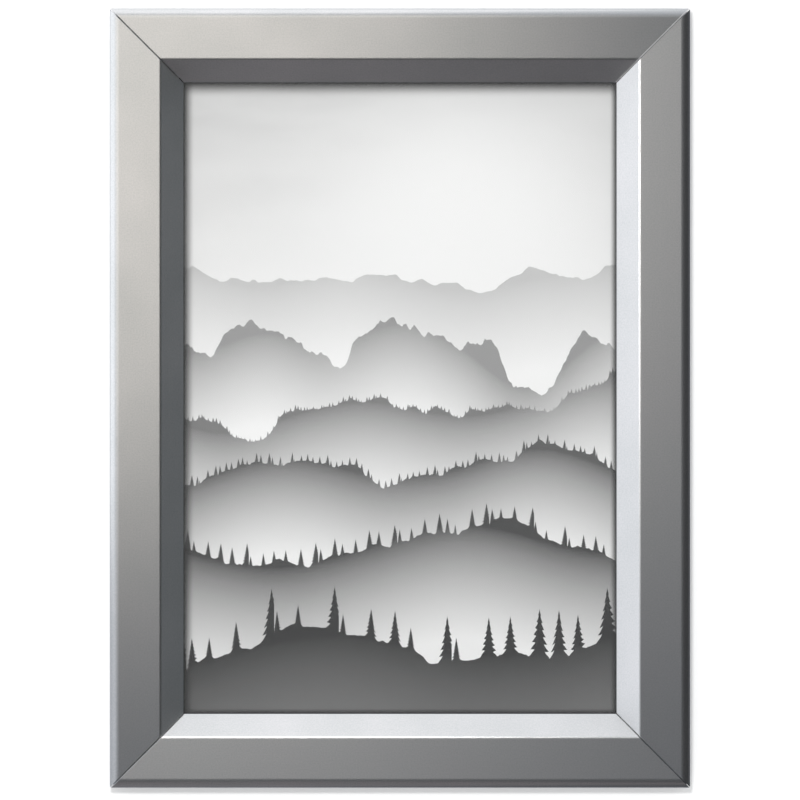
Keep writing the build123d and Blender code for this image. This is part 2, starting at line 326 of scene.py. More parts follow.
screw_points = []
for corner, (outer_x, outer_z) in corners.items():
    low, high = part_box(f"grub_screws_{corner}")
    reach_x = (low[0] + screw_radius, high[0] - screw_radius)[::outer_x]
    reach_z = (low[2] + screw_radius, high[2] - screw_radius)[::outer_z]
    middle = (low[1] + high[1]) / 2
    screw_points += [(reach_x[0], middle, reach_z[1]), (reach_x[1], middle, reach_z[0])]
screw_start = bpy.data.meshes.new("screw points")
screw_start.from_pydata(screw_points, [], [])
screws = baked_piece("grub_screws_threaded", screw_start, make_screw_tree(), {
    "Radius": screw_radius, "Length": high[1] - low[1], "Pitch": thread_pitch, "Thread Depth": thread_depth,
    "Drive Radius": drive_radius, "Drive Depth": drive_depth, "Seed": screw_seed, "Material": black_oxide,
})
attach(screws, "frame_base")
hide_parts(*(f"grub_screws_{corner}" for corner in corners))

# Back panel
# A sheet of white polystyrene that backs the print. It lies on the floor of the base rails.
styrene_colour = (0.86, 0.86, 0.85)
styrene_colour_low = (0.80, 0.80, 0.795)
styrene_mottles = 900
styrene_relief = 0.01 * mm
mottle_spread = 0.05        # of the roughness, to each side


def sheet_material(name, colour_low, colour_high, mottles, roughness, relief):
    """A plain sheet with a faint mottle in its colour and surface, so many spots in a metre."""
    material, tree, shader = new_material(name)
    coordinates = add_node(tree, "ShaderNodeTexCoord")
    mottle = add_node(tree, "ShaderNodeTexNoise", in_Scale=mottles, in_Detail=4.0)
    tree.links.new(coordinates.outputs["Object"], mottle.inputs["Vector"])
    colour = add_node(tree, "ShaderNodeMix", data_type="RGBA")
    colour.inputs["A"].default_value = (*colour_low, 1)
    colour.inputs["B"].default_value = (*colour_high, 1)
    tree.links.new(mottle.outputs["Fac"], colour.inputs["Factor"])
    tree.links.new(colour.outputs["Result"], shader.inputs["Base Color"])
    rough = add_node(
        tree, "ShaderNodeMapRange", in_3=roughness - mottle_spread, in_4=roughness + mottle_spread,
    )
    tree.links.new(mottle.outputs["Fac"], rough.inputs["Value"])
    tree.links.new(rough.outputs["Result"], shader.inputs["Roughness"])
    dents = add_node(tree, "ShaderNodeBump", in_Strength=1.0, in_Distance=relief)
    tree.links.new(mottle.outputs["Fac"], dents.inputs["Height"])
    tree.links.new(dents.outputs["Normal"], shader.inputs["Normal"])
    return material


styrene = sheet_material(
    "white styrene", styrene_colour_low, styrene_colour, styrene_mottles,
    roughness=0.5, relief=styrene_relief,
)
finish_node("back_panel", styrene)

# Printed sheet
# Satin paper with a greyscale picture of our own: ridges in mist under a pale sky, firs on the
# nearest ones. Each ridge is drawn over those behind it and fades into mist below its crest.
# Along its edges the picture darkens towards the rails' lips: a painted shadow of the lips, widest at the top
# and left.
picture_half = (95 * mm, 138.5 * mm)
picture_overlap = 2 * mm
# Painted shadow of the lips: its width at each side, where it starts, how it falls and its tone at the lip.
lip_shadow_widths = {"left": 5.6 * mm, "right": 3.6 * mm, "top": 7.5 * mm, "bottom": 3.2 * mm}
lip_shadow_start_share = -0.35    # where the painted lip shadow starts, of its width; the lip hides what lies past 0
lip_shadow_power = 1.6
lip_shadow_tone = 0.02
sky_heights = (40 * mm, 150 * mm)
sky_tones = (0.97, 0.62)
veil_stretch = (9, 1, 46)   # clouds in a metre, across and up the sheet
veil_range = (0.42, 0.68)
veil_weight = 0.35
sun_place = (28 * mm, 0, 72 * mm)
sun_reach = (105 * mm, 12 * mm)
mist_power = 0.8
ink_black = (0.012, 0.012, 0.013, 1)
paper_white = (0.95, 0.95, 0.945, 1)
paper_gloss = 0.25
paper_roughness = (0.42, 0.52)
paper_teeth = 2600
paper_relief = 0.004 * mm
fir_tiers = 7.0
fir_notch = 0.45            # of its width, between two tiers
fir_least = 0.35            # of the tallest one's size
ridge_inputs = (
    ("Height", "crest height in the middle of the sheet"),
    ("Swell", "how far the crest rises and falls"),
    ("Waves", "waves of the crest in a metre"),
    ("Seed", "place along the noise"),
    ("Crest Tone", "tone at the crest"),
    ("Mist Tone", "tone below it"),
    ("Mist Depth", "distance over which it fades"),
    ("Fir Height", "height of the tallest firs"),
    ("Fir Spacing", "distance between firs"),
)
# One row for each ridge, the farthest first, with these inputs in their order and lengths in metres.
ridges = (
    (0.054, 0.026, 13, 3.1, 0.62, 1.00, 0.040, 0.0, 0.004),
    (0.026, 0.056, 15, 11.7, 0.34, 1.00, 0.040, 0.0, 0.004),
    (-0.004, 0.036, 12, 23.4, 0.21, 0.98, 0.040, 0.0022, 0.0015),
    (-0.034, 0.036, 11, 37.9, 0.10, 0.95, 0.042, 0.0048, 0.0026),
    (-0.068, 0.038, 9, 51.2, 0.045, 0.92, 0.050, 0.0105, 0.0050),
    (-0.112, 0.034, 8, 68.6, 0.012, 0.30, 0.070, 0.0230, 0.0098),
)


def make_ridge_group():
    """One ridge with its mist and firs, drawn over a backdrop tone."""
    group = bpy.data.node_groups.new("ridge", "ShaderNodeTree")
    faces = group.interface
    for name in ("X", "Z", "Backdrop"):
        faces.new_socket(name, in_out="INPUT", socket_type="NodeSocketFloat")
    for name, note in ridge_inputs:
        faces.new_socket(name, in_out="INPUT", socket_type="NodeSocketFloat", description=note)
    faces.new_socket("Tone", in_out="OUTPUT", socket_type="NodeSocketFloat")
    entry = add_node(group, "NodeGroupInput").outputs
    leave = add_node(group, "NodeGroupOutput")
    math = calculator(group)
    wave = add_node(group, "ShaderNodeTexNoise", noise_dimensions="1D", in_Scale=1.0, in_Detail=7.0)
    group.links.new(math("MULTIPLY_ADD", entry["X"], entry["Waves"], entry["Seed"]), wave.inputs["W"])
    rise = math("SUBTRACT", wave.outputs["Fac"], 0.5)
    crest = math("MULTIPLY_ADD", math("MULTIPLY", rise, 2.0), entry["Swell"], entry["Height"])
    above = math("SUBTRACT", entry["Z"], crest)
    firs = add_node(group, "ShaderNodeTexVoronoi", voronoi_dimensions="1D", in_Scale=1.0, in_Randomness=0.9)
    place = math("ADD", math("DIVIDE", entry["X"], entry["Fir Spacing"]), entry["Seed"])
    group.links.new(place, firs.inputs["W"])
    chance = add_node(group, "ShaderNodeSeparateColor")
    group.links.new(firs.outputs["Color"], chance.inputs["Color"])
    size = math("MULTIPLY_ADD", chance.outputs["Red"], 1.0 - fir_least, fir_least)
    fir_height = math("MAXIMUM", math("MULTIPLY", size, entry["Fir Height"]), 0.01 * mm)
    climb = math("DIVIDE", above, fir_height)
    tiers = math("FRACT", math("MULTIPLY", climb, fir_tiers))
    taper = math("MULTIPLY", math("SUBTRACT", 1.0, climb), math("MULTIPLY_ADD", tiers, -fir_notch, 1.0))
    half_width = math("MULTIPLY", math("MULTIPLY", taper, size), 0.5)
    in_width = math("LESS_THAN", firs.outputs["Distance"], half_width)
    fir = math("MULTIPLY", in_width, math("LESS_THAN", climb, 1.0))
    fir = math("MULTIPLY", fir, math("GREATER_THAN", entry["Fir Height"], 0.0))
    mask = math("MAXIMUM", math("LESS_THAN", above, 0.0), fir)
    roll = add_node(group, "ShaderNodeTexNoise", noise_dimensions="1D", in_Scale=1.0, in_Detail=0.0)
    group.links.new(math("MULTIPLY_ADD", entry["X"], entry["Waves"], entry["Seed"]), roll.inputs["W"])
    mist_rise = math("SUBTRACT", roll.outputs["Fac"], 0.5)
    mist_top = math("MULTIPLY_ADD", mist_rise, entry["Swell"], entry["Height"])
    below = math("SUBTRACT", mist_top, entry["Z"])
    fade = math("POWER", math("DIVIDE", below, entry["Mist Depth"], clamp=True), mist_power)
    body = add_node(group, "ShaderNodeMix", data_type="FLOAT")
    for value, socket in ((fade, "Factor"), (entry["Crest Tone"], "A"), (entry["Mist Tone"], "B")):
        group.links.new(value, body.inputs[socket])
    drawn = add_node(group, "ShaderNodeMix", data_type="FLOAT")
    for value, socket in ((mask, "Factor"), (entry["Backdrop"], "A"), (body.outputs["Result"], "B")):
        group.links.new(value, drawn.inputs[socket])
    group.links.new(drawn.outputs["Result"], leave.inputs["Tone"])
    return group


def make_print():
    """The printed paper, with a painted shadow of the lips along the picture's edges."""
    material, tree, shader = new_material("printed paper")
    coordinates = add_node(tree, "ShaderNodeTexCoord")
    place = add_node(tree, "ShaderNodeSeparateXYZ")
    tree.links.new(coordinates.outputs["Object"], place.inputs["Vector"])
    sky = add_node(
        tree, "ShaderNodeMapRange",
        in_1=sky_heights[0], in_2=sky_heights[1], in_3=sky_tones[0], in_4=sky_tones[1],
    )
    tree.links.new(place.outputs["Z"], sky.inputs["Value"])
    stretch = add_node(tree, "ShaderNodeMapping", in_Scale=veil_stretch)
    tree.links.new(coordinates.outputs["Object"], stretch.inputs["Vector"])
    cloud = add_node(tree, "ShaderNodeTexNoise", in_Scale=1.0, in_Detail=5.0, in_Roughness=0.55)
    tree.links.new(stretch.outputs["Vector"], cloud.inputs["Vector"])
    veil = add_node(
        tree, "ShaderNodeMapRange", in_1=veil_range[0], in_2=veil_range[1], in_3=0.0, in_4=veil_weight,
    )
    tree.links.new(cloud.outputs["Fac"], veil.inputs["Value"])
    clouded = add_node(tree, "ShaderNodeMix", data_type="FLOAT", in_3=sky_tones[0])
    tree.links.new(veil.outputs["Result"], clouded.inputs["Factor"])
    tree.links.new(sky.outputs["Result"], clouded.inputs["A"])
    sun = add_node(tree, "ShaderNodeVectorMath", operation="DISTANCE")
    flat = add_node(tree, "ShaderNodeCombineXYZ")
    tree.links.new(place.outputs["X"], flat.inputs["X"])
    tree.links.new(place.outputs["Z"], flat.inputs["Z"])
    tree.links.new(flat.outputs["Vector"], sun.inputs[0])
    sun.inputs[1].default_value = sun_place
    glow = add_node(
        tree, "ShaderNodeMapRange", interpolation_type="SMOOTHSTEP", in_1=sun_reach[0], in_2=sun_reach[1],
    )
    tree.links.new(sun.outputs["Value"], glow.inputs["Value"])
    lit = add_node(tree, "ShaderNodeMix", data_type="FLOAT", in_3=1.0)
    tree.links.new(glow.outputs["Result"], lit.inputs["Factor"])
    tree.links.new(clouded.outputs["Result"], lit.inputs["A"])
    tone = lit.outputs["Result"]
    ridge_group = make_ridge_group()
    for values in ridges:
        ridge = add_node(tree, "ShaderNodeGroup", node_tree=ridge_group)
        tree.links.new(place.outputs["X"], ridge.inputs["X"])
        tree.links.new(place.outputs["Z"], ridge.inputs["Z"])
        tree.links.new(tone, ridge.inputs["Backdrop"])
        for (name, _), value in zip(ridge_inputs, values):
            ridge.inputs[name].default_value = value
        tone = ridge.outputs["Tone"]
    calculate = calculator(tree)
    # Painted shadow of the lips: each side of the picture darkens towards its lip. Past the picture lies
    # plain paper.
    margin = None
    for side, axis, sign, half in (
        ("left", "X", -1, picture_half[0]), ("right", "X", 1, picture_half[0]),
        ("top", "Z", 1, picture_half[1]), ("bottom", "Z", -1, picture_half[1]),
    ):
        inside = calculate("MULTIPLY_ADD", place.outputs[axis], -sign, half)
        shade = add_node(
            tree, "ShaderNodeMapRange", interpolation_type="SMOOTHERSTEP",
            in_1=lip_shadow_start_share * lip_shadow_widths[side], in_2=lip_shadow_widths[side], in_3=lip_shadow_tone, in_4=1.0,
        )
        tree.links.new(inside, shade.inputs["Value"])
        tone = calculate("MULTIPLY", tone, calculate("POWER", shade.outputs["Result"], lip_shadow_power))
        outside = calculate("LESS_THAN", inside, -picture_overlap)
        margin = outside if margin is None else calculate("MAXIMUM", margin, outside)
    tone = calculate("MAXIMUM", tone, margin)
    ink = add_node(tree, "ShaderNodeMix", data_type="RGBA")
    ink.inputs["A"].default_value = ink_black
    ink.inputs["B"].default_value = paper_white
    shader.inputs["Specular IOR Level"].default_value = paper_gloss
    tree.links.new(tone, ink.inputs["Factor"])
    tree.links.new(ink.outputs["Result"], shader.inputs["Base Color"])
    tooth = add_node(tree, "ShaderNodeTexNoise", in_Scale=paper_teeth, in_Detail=2.0)
    tree.links.new(coordinates.outputs["Object"], tooth.inputs["Vector"])
    rough = add_node(tree, "ShaderNodeMapRange", in_3=paper_roughness[0], in_4=paper_roughness[1])
    tree.links.new(tooth.outputs["Fac"], rough.inputs["Value"])
    tree.links.new(rough.outputs["Result"], shader.inputs["Roughness"])
    dents = add_node(tree, "ShaderNodeBump", in_Strength=1.0, in_Distance=paper_relief)
    tree.links.new(tooth.outputs["Fac"], dents.inputs["Height"])
    tree.links.new(dents.outputs["Normal"], shader.inputs["Normal"])
    return material


finish_node("print_sheet", make_print())

# Clear sheet
# A thin rigid clear sheet over the print, guillotined with its edges eased, with a fine matt side
# that breaks up reflections. It lies loose on the print, with a film of air between the two.
clear_opacity = 0.025
clear_ior = 1.49
clear_colour = (0.96, 0.97, 0.97)
clear_colour_low = (0.93, 0.95, 0.95)
clear_mottles = 3200
clear_relief = 0.002 * mm
air_film = 0.03 * mm
cut_ease = 0.08 * mm


def loose_sheet(name, node, air):
    """A sheet in the place of a node, with eased edges and air behind it."""
    low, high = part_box(node)
    mesh = bmesh.new()
    bmesh.ops.create_cube(mesh, size=1.0)
    for vert in mesh.verts:
        vert.co.x = (low[0], high[0])[vert.co.x > 0]
        vert.co.y = (low[1], high[1] - air)[vert.co.y > 0]
        vert.co.z = (low[2], high[2])[vert.co.z > 0]
    bmesh.ops.bevel(mesh, geom=mesh.edges, offset=cut_ease, segments=2, profile=0.5, affect="EDGES")
    bmesh.ops.recalc_face_normals(mesh, faces=mesh.faces)
    data = bpy.data.meshes.new(name)
    mesh.to_mesh(data)
    mesh.free()
    sheet = bpy.data.objects.new(name, data)
    bpy.context.scene.collection.objects.link(sheet)
    return sheet


def make_clear():
    """The clear sheet, seen through, with a soft gloss from its matt side."""
    material = sheet_material(
        "clear sheet", clear_colour_low, clear_colour, clear_mottles,
        roughness=0.24, relief=clear_relief,
    )
    shader = material.node_tree.nodes["Principled BSDF"]
    shader.inputs["Alpha"].default_value = clear_opacity
    shader.inputs["IOR"].default_value = clear_ior
    return material


clear = loose_sheet("clear_sheet_eased", "clear_sheet", air_film)
clear.data.materials.append(make_clear())
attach(clear, "frame_base")
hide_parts("clear_sheet")

# Springs
# Eight leaf springs of tempered steel, two in each side, with both ends rolled into eyes. They push
# the cover past the middle of its travel, so that it snaps shut and snaps open.
spring_colour = (0.42, 0.43, 0.46)
spring_colour_straw = (0.40, 0.37, 0.33)
spring_lines = (0.5 * mm, 6 * mm)
spring_speckles = 700
spring_relief = 0.003 * mm
for side in sides:
    tempered = grained_metal(
        f"spring steel {side}", side, (spring_colour, spring_colour_straw), spring_lines, spring_speckles,
        lines_weight=0.6, roughness=0.3, spread=0.06, relief=spring_relief, anisotropy=0,
    )
    for number in (1, 2):
        finish_node(f"snap_spring_{side}_{number}", tempered)

# Cover rails
# The visible rails, of one aluminium extrusion, satin anodised and cut to a mitre: a socket that
# snaps on the bead of the base, a rounded outer edge, a flat face, and a bevel down to the lip
# that holds the sheets. Inside, a finger with a round seat takes the eyes of the springs.
rail_depth = 14 * mm
cover_wall = 1.3 * mm
outer_round = 4.2 * mm
face_width = 22.3 * mm
edge_round = 1.8 * mm
inner_round = 0.4 * mm
rail_width = 32 * mm
lip_bottom = 3.6 * mm
lip_height = 0.9 * mm
bead_socket = 1.48 * mm
socket_radius = 2.58 * mm
wall_gap = 0.32 * mm
hinge = Vector((socket_radius, socket_radius + wall_gap))
socket_start, socket_end = -10, 210         # degrees, as the other angles here
seat_inner = 0.76 * mm
seat_outer = 1.36 * mm
seat_reach = 3.8 * mm
seat_angle = 15
finger_half = 0.7 * mm
seat_start, seat_end = 123.6, 299.6
mitre_gap = 0.15 * mm
end_clearance = 0.3 * mm
notch_reach = 2 * socket_radius + end_clearance
notch_height = socket_radius + mitre_gap * sqrt(2)
cut_edge = 0.24 * mm        # how far a sawn end is eased, off the surface and along the rail
cut_length = 0.42 * mm
# The rail whose near cut shows bare metal with a painted bright line along it.
bare_glint_side = "top"
far_cut_share = 0.35        # of the easing, at the other end of each rail
holding = 0.04 * mm         # from the end of a flat to the point that keeps its shading even
shortest_run = 0.012 * mm   # two points of the section that are closer become one
weld_distance = 0.00024 * mm
arc_step = 6
sharp_angle = 12
frame_width = cad_high.x - cad_low.x
frame_height = cad_high.z - cad_low.z
rail_axes = {
    "top": (Vector((0, 0, -1)), frame_height, frame_width),
    "bottom": (Vector((0, 0, 1)), frame_height, frame_width),
    "left": (Vector((1, 0, 0)), frame_width, frame_height),
    "right": (Vector((-1, 0, 0)), frame_width, frame_height),
}
outward = Vector((0, -1, 0))


def polar(centre, radius, angle):
    """The point of a circle at an angle in degrees."""
    return centre + Vector((cos(radians(angle)), sin(radians(angle)))) * radius


def arc(centre, radius, start, end):
    """Points along an arc between two angles in degrees."""
    steps = max(2, round(abs(end - start) / arc_step))
    return [polar(centre, radius, start + (end - start) * step / steps) for step in range(steps + 1)]


def straight(start, end):
    """A straight run, with a point close to each end that keeps the shading of the flat even."""
    along = (end - start).normalized() * min(holding, (end - start).length / 3)
    return [start, start + along, end - along, end]


def cover_section():
    """Outline of the cover rail's section, once round, with the metal on the right."""
    drop = rail_depth - lip_bottom - lip_height
    bevel = degrees(atan2(drop, rail_width - face_width))
    half_tan = tan(radians(bevel) / 2)
    edge_centre = Vector((face_width - edge_round * half_tan, rail_depth - edge_round))
    inner_edge = face_width - cover_wall * half_tan
    inner_centre = Vector((inner_edge - inner_round * half_tan, rail_depth - cover_wall - inner_round))
    lip_inside = inner_edge + (rail_depth - cover_wall - lip_bottom) / tan(radians(bevel))
    corner_centre = Vector((outer_round, rail_depth - outer_round))
    seat = polar(hinge, seat_reach, seat_angle)
    wall_angle = degrees(acos((cover_wall - hinge.x) / socket_radius))
    web_angle = degrees(asin(finger_half / socket_radius))
    seat_web_angle = degrees(asin(finger_half / seat_outer))
    runs = [
        arc(hinge, socket_radius, socket_end, 180),
        straight(Vector((0, hinge.y)), Vector((0, corner_centre.y))),
        arc(corner_centre, outer_round, 180, 90),
        straight(Vector((outer_round, rail_depth)), Vector((edge_centre.x, rail_depth))),
        arc(edge_centre, edge_round, 90, 90 - bevel),
        straight(polar(edge_centre, edge_round, 90 - bevel), Vector((rail_width, lip_bottom + lip_height))),
        straight(Vector((rail_width, lip_bottom + lip_height)), Vector((rail_width, lip_bottom))),
        straight(Vector((rail_width, lip_bottom)), Vector((lip_inside, lip_bottom))),
        straight(Vector((lip_inside, lip_bottom)), polar(inner_centre, inner_round, 90 - bevel)),
        arc(inner_centre, inner_round, 90 - bevel, 90),
        straight(polar(inner_centre, inner_round, 90), Vector((outer_round, rail_depth - cover_wall))),
        arc(corner_centre, outer_round - cover_wall, 90, 180),
        straight(Vector((cover_wall, corner_centre.y)), polar(hinge, socket_radius, wall_angle)),
        arc(hinge, socket_radius, wall_angle, seat_angle + web_angle),
        arc(seat, seat_outer, 180 + seat_angle - seat_web_angle, seat_start),
        arc(seat, seat_inner, seat_start, seat_end),
        arc(seat, seat_outer, seat_end, 180 + seat_angle + seat_web_angle),
        arc(hinge, socket_radius, seat_angle - web_angle, socket_start),
        arc(hinge, bead_socket, socket_start, socket_end),
    ]
    points = [point for run in runs for point in run]
    following = points[1:] + points[:1]
    return [point for point, after in zip(points, following) if (point - after).length > shortest_run]


def section_sheet(section):
    """The section as a flat sheet, drawn in by the cut edge; each point keeps the way back to the outline."""
    inset, ways = [], []
    for before, point, after in zip(section[-1:] + section[:-1], section, section[1:] + section[:1]):
        heading = (after - before).normalized()
        way = Vector((-heading.y, heading.x)) * cut_edge
        inset.append((point - way).to_3d())
        ways.append(way.to_3d())
    sheet = bpy.data.meshes.new("section sheet")
    sheet.from_pydata(inset, [], tessellate_polygon([inset]))
    ease = sheet.attributes.new("ease", "FLOAT_VECTOR", "POINT")
    for item, way in zip(ease.data, ways):
        item.vector = way
    return sheet


def make_rail_tree():
    """A rail drawn from its section in three steps, then mitred, notched at the hinge and eased at the cuts.
    Its points lie at 0, 1, 2 and 3 along the rail until Set Position puts them in place."""
    step_length, steps = 1.0, 3
    middle = steps * step_length / 2
    tree, entry, leave = shape_tree("mitred rail", (
        ("Length", "Float"), ("Mitre Gap", "Float"), ("Notch Reach", "Float"), ("Notch Top", "Float"),
        ("Notch Height", "Float"), ("Cut Length", "Float"), ("Far Cut Share", "Float"),
        ("Material", "Material"), ("Cut Material", "Material"),
    ))
    calculate = calculator(tree)
    step = add_node(tree, "ShaderNodeCombineXYZ", in_Z=step_length)
    walls = entry["Geometry"]
    far_end = None
    for _ in range(steps):
        drawn = add_node(tree, "GeometryNodeExtrudeMesh", mode="FACES", in_Individual=False)
        tree.links.new(step.outputs[0], drawn.inputs["Offset"])
        tree.links.new(walls, drawn.inputs["Mesh"])
        if far_end is not None:
            tree.links.new(far_end, drawn.inputs["Selection"])
        walls, far_end = drawn.outputs["Mesh"], drawn.outputs["Top"]
    near_cap = fill(tree, add_node(tree, "GeometryNodeFlipFaces"), entry["Geometry"])
    joined = add_node(tree, "GeometryNodeJoinGeometry")
    tree.links.new(walls, joined.inputs[0])
    tree.links.new(near_cap, joined.inputs[0])
    closed = fill(tree, add_node(tree, "GeometryNodeMergeByDistance"), joined.outputs[0])
    closed.node.inputs["Distance"].default_value = weld_distance
    place = add_node(tree, "ShaderNodeSeparateXYZ")
    tree.links.new(add_node(tree, "GeometryNodeInputPosition").outputs[0], place.inputs[0])
    along = place.outputs["Z"]
    from_middle = calculate("ABSOLUTE", calculate("SUBTRACT", along, middle))
    near_cut = calculate("LESS_THAN", along, step_length)
    finished = fill(tree, add_node(tree, "GeometryNodeSetMaterial"), closed, None, entry["Material"])
    at_cut = add_node(tree, "GeometryNodeSetMaterial")
    finished = fill(tree, at_cut, finished, near_cut, entry["Cut Material"])
    outline = calculate("LESS_THAN", from_middle, step_length)
    ease = add_node(tree, "GeometryNodeInputNamedAttribute", data_type="FLOAT_VECTOR", in_Name="ease")
    is_far = calculate("GREATER_THAN", along, middle)
    share = calculate("MULTIPLY_ADD", is_far, calculate("SUBTRACT", entry["Far Cut Share"], 1.0), 1.0)
    is_end = calculate("SUBTRACT", 1.0, outline)
    drawn_back = calculate("SUBTRACT", 1.0, calculate("MULTIPLY", is_end, share))
    way = add_node(tree, "ShaderNodeVectorMath", operation="SCALE")
    tree.links.new(ease.outputs[0], way.inputs[0])
    tree.links.new(drawn_back, way.inputs["Scale"])
    at_outline = add_node(tree, "ShaderNodeVectorMath", operation="ADD")
    tree.links.new(add_node(tree, "GeometryNodeInputPosition").outputs[0], at_outline.inputs[0])
    tree.links.new(way.outputs[0], at_outline.inputs[1])
    point = add_node(tree, "ShaderNodeSeparateXYZ")
    tree.links.new(at_outline.outputs[0], point.inputs[0])
    into_notch = calculate("SUBTRACT", entry["Notch Top"], point.outputs["Y"])
    notch_depth = calculate("DIVIDE", into_notch, entry["Notch Height"], clamp=True)
    notch = calculate("MULTIPLY", notch_depth, entry["Notch Reach"])
    mitre = calculate("MULTIPLY_ADD", entry["Mitre Gap"], sqrt(2), point.outputs["X"])
    back = calculate("MAXIMUM", mitre, notch)
    easing = calculate("MULTIPLY", calculate("MULTIPLY", entry["Cut Length"], outline), share)
    back = calculate("ADD", back, easing)
    reach = calculate("SUBTRACT", calculate("DIVIDE", entry["Length"], 2.0), back)
    end_sign = calculate("SIGN", calculate("SUBTRACT", along, middle))
    final = add_node(tree, "ShaderNodeCombineXYZ")
    tree.links.new(point.outputs["X"], final.inputs["X"])
    tree.links.new(point.outputs["Y"], final.inputs["Y"])
    tree.links.new(calculate("MULTIPLY", end_sign, reach), final.inputs["Z"])
    cut = fill(tree, add_node(tree, "GeometryNodeSetPosition"), finished)
    tree.links.new(final.outputs[0], cut.node.inputs["Position"])
    tree.links.new(fill(tree, add_node(tree, "GeometryNodeRealizeInstances"), cut), leave[0])
    return tree


def set_into_frame(piece, side):
    """Turns a rail's mesh into its place and shades it smooth up to its real edges."""
    inward, extent, _ = rail_axes[side]
    along = inward.cross(outward)
    turn = Matrix((inward, outward, along)).transposed().to_4x4()
    piece.data.transform(Matrix.Translation(inward * (-extent / 2)) @ turn)
    mesh = bmesh.new()
    mesh.from_mesh(piece.data)
    bmesh.ops.recalc_face_normals(mesh, faces=mesh.faces)
    mesh.to_mesh(piece.data)
    mesh.free()
    for face in piece.data.polygons:
        face.use_smooth = True
    piece.data.set_sharp_from_angle(angle=radians(sharp_angle))


anodised_colour = (0.925, 0.912, 0.918)
anodised_colour_low = (0.745, 0.762, 0.76)
anodised_lines = (0.12 * mm, 9 * mm)
anodised_speckles = 1500
anodised_relief = 0.006 * mm
# The cut at the near end of the top rail: bare metal, near-white and mostly matt, so that it shows a painted
# bright line at that mitre.
cut_glint_colour = (0.93, 0.93, 0.935)
cut_glint_colour_low = (0.82, 0.82, 0.83)
cut_lines = (0.1 * mm, 0.4 * mm)
cut_speckles = 2600
cut_relief = 0.004 * mm
cut_glint_metallic = 0.1          # mostly matt, so the near-white cut shows a painted bright line as well as bare metal
bare_cut_and_glint = grained_metal(
    f"bare cut and glint {bare_glint_side}", bare_glint_side, (cut_glint_colour, cut_glint_colour_low), cut_lines, cut_speckles,
    lines_weight=0.6, roughness=0.5, spread=0.05, relief=cut_relief, anisotropy=0,
)
bare_cut_and_glint.node_tree.nodes["Principled BSDF"].inputs["Metallic"].default_value = cut_glint_metallic
rail_tree = make_rail_tree()
for side in sides:
    satin = grained_metal(
        f"satin anodised {side}", side, (anodised_colour, anodised_colour_low), anodised_lines,
        anodised_speckles, lines_weight=0.25, roughness=0.35, spread=0.03, relief=anodised_relief,
        anisotropy=0.45,
    )
    cover = baked_piece(f"cover_{side}_satin", section_sheet(cover_section()), rail_tree, {
        "Length": rail_axes[side][2], "Mitre Gap": mitre_gap, "Notch Reach": notch_reach,
        "Notch Top": hinge.y + notch_height, "Notch Height": notch_height, "Cut Length": cut_length,
        "Far Cut Share": far_cut_share, "Material": satin,
        "Cut Material": bare_cut_and_glint if side == bare_glint_side else satin,
    })
    set_into_frame(cover, side)
    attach(cover, f"cover_{side}")
    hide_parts(f"cover_rail_{side}")

# Wall and floor
# A plain white wall behind the frame and a plain pale floor below it. Seen from behind, the wall
# lets the view through, so that the back of the frame can be looked at.
wall_size = 6.0
wall_behind = 0.4 * mm
floor_drop = 1.4
wall_colour = (0.9, 0.9, 0.9, 1)
wall_glow = 0.13


def plane_object(name, corners_at, material):
    """A flat rectangle through four corners."""
    data = bpy.data.meshes.new(name)
    data.from_pydata(corners_at, [], [tuple(range(len(corners_at)))])
    data.materials.append(material)
    plane = bpy.data.objects.new(name, data)
    bpy.context.scene.collection.objects.link(plane)
    plane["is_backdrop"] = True
    return plane


def make_wall_material():
    """Matt white that stays white to the camera, keeps the shadow and is clear from behind."""
    material, tree, _ = new_material("wall white")
    tree.nodes.clear()
    paint = add_node(tree, "ShaderNodeBsdfDiffuse", in_Color=wall_colour)
    glow = add_node(tree, "ShaderNodeEmission", in_Strength=wall_glow)
    lit = add_node(tree, "ShaderNodeAddShader")
    tree.links.new(paint.outputs[0], lit.inputs[0])
    tree.links.new(glow.outputs[0], lit.inputs[1])
    rays = add_node(tree, "ShaderNodeLightPath")
    seen = add_node(tree, "ShaderNodeMixShader")
    tree.links.new(rays.outputs["Is Camera Ray"], seen.inputs["Fac"])
    tree.links.new(paint.outputs[0], seen.inputs[1])
    tree.links.new(lit.outputs[0], seen.inputs[2])
    way = add_node(tree, "ShaderNodeNewGeometry")
    clear = add_node(tree, "ShaderNodeBsdfTransparent")
    choice = add_node(tree, "ShaderNodeMixShader")
    tree.links.new(way.outputs["Backfacing"], choice.inputs["Fac"])
    tree.links.new(seen.outputs[0], choice.inputs[1])
    tree.links.new(clear.outputs[0], choice.inputs[2])
    result = add_node(tree, "ShaderNodeOutputMaterial")
    tree.links.new(choice.outputs[0], result.inputs["Surface"])
    return material


wall_material = make_wall_material()
half_wall = wall_size / 2
wall = plane_object("wall", [
    (-half_wall, wall_behind, -floor_drop), (half_wall, wall_behind, -floor_drop),
    (half_wall, wall_behind, half_wall), (-half_wall, wall_behind, half_wall),
], wall_material)
wall.visible_shadow = False
wall.visible_diffuse = False
wall.visible_glossy = False
floor = plane_object("floor", [
    (-half_wall, -wall_size, -floor_drop), (half_wall, -wall_size, -floor_drop),
    (half_wall, wall_behind, -floor_drop), (-half_wall, wall_behind, -floor_drop),
], wall_material)
floor.visible_glossy = False

